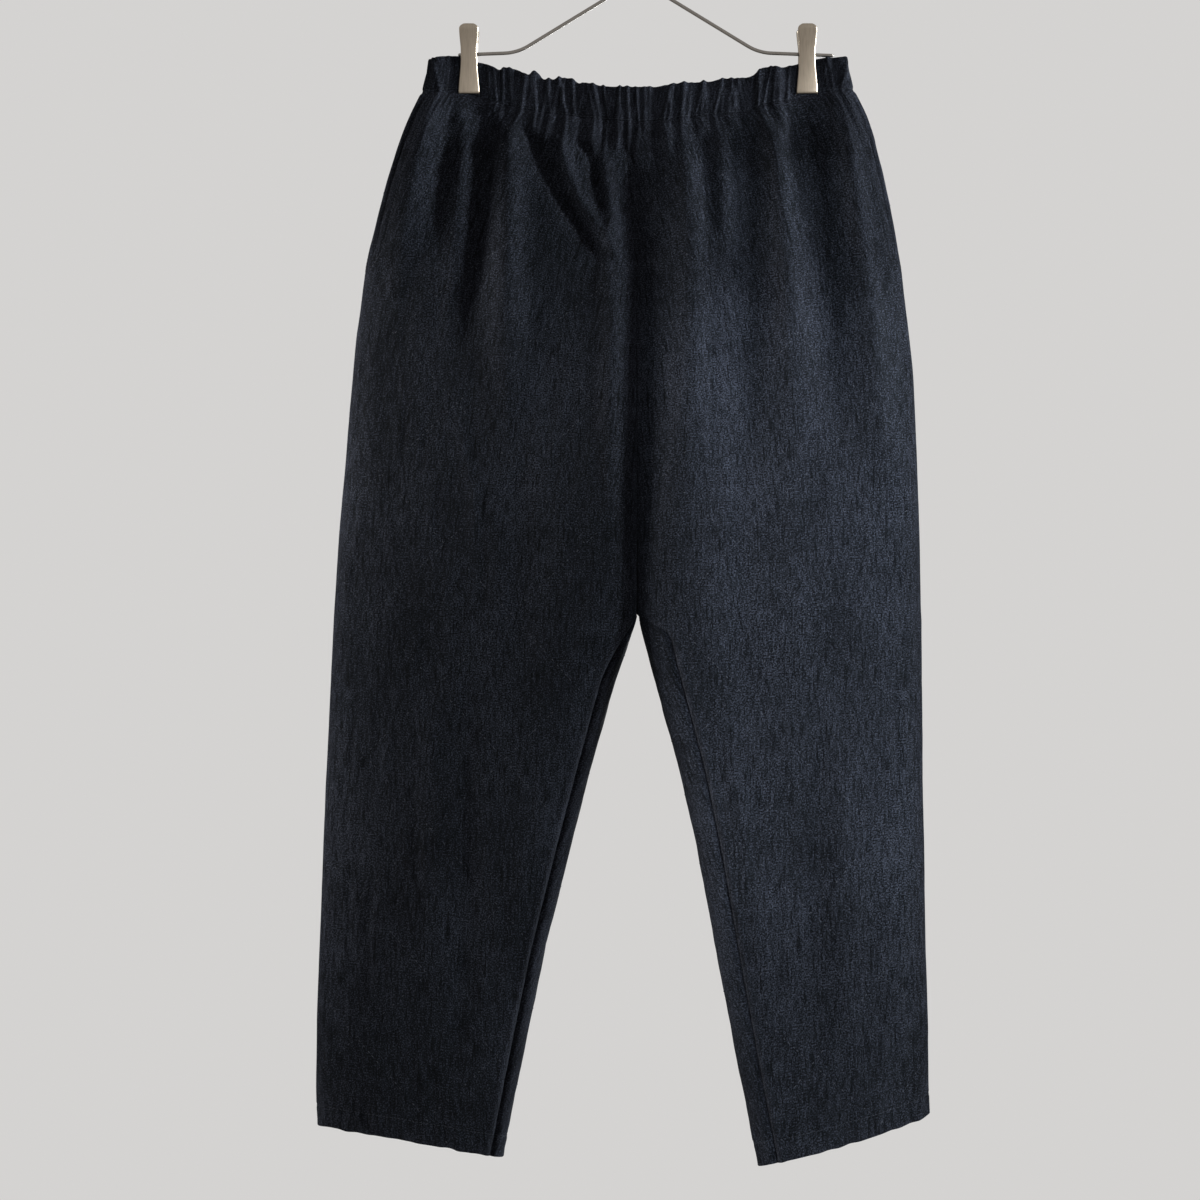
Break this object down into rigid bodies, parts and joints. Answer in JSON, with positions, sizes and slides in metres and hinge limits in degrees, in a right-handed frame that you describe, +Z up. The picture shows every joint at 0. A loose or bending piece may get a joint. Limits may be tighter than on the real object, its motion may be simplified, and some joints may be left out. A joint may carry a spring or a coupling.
{
  "type": "sashiko trousers on a clip hanger",
  "caption": "Dark navy sashiko cotton trousers with an elastic waist, side pockets and straight tapered legs, hanging from a steel clip hanger.",
  "frame": {"origin": "underside of the hook's crown, where a rod or wall hook carries the hanger", "axes": "+Z up, -Y the garment's front, +X the wearer's left"},
  "size_m": [0.5085, 0.057, 1.0702],
  "materials": {
    "sashiko_cloth": "matte crinkled dark navy cotton with small running stitches",
    "pocket_cloth": "matte plain dark cotton",
    "clip_steel": "satin",
    "hanger_wire": "satin"
  },
  "bodies": {
    "root": {"front_right": "sashiko_cloth", "front_left": "sashiko_cloth", "back_right": "sashiko_cloth", "back_left": "sashiko_cloth", "waistband_front": "sashiko_cloth", "waistband_back": "sashiko_cloth", "pocket_bag_right": "pocket_cloth", "pocket_bag_left": "pocket_cloth", "hanger_frame": "hanger_wire", "hanger_hook": "hanger_wire", "hanger_ferrule": "clip_steel", "clip_right_sleeve": "clip_steel", "clip_right_front_jaw": "clip_steel", "clip_right_back_jaw": "clip_steel", "clip_left_sleeve": "clip_steel", "clip_left_front_jaw": "clip_steel", "clip_left_back_jaw": "clip_steel"}
  },
  "joints": []
}
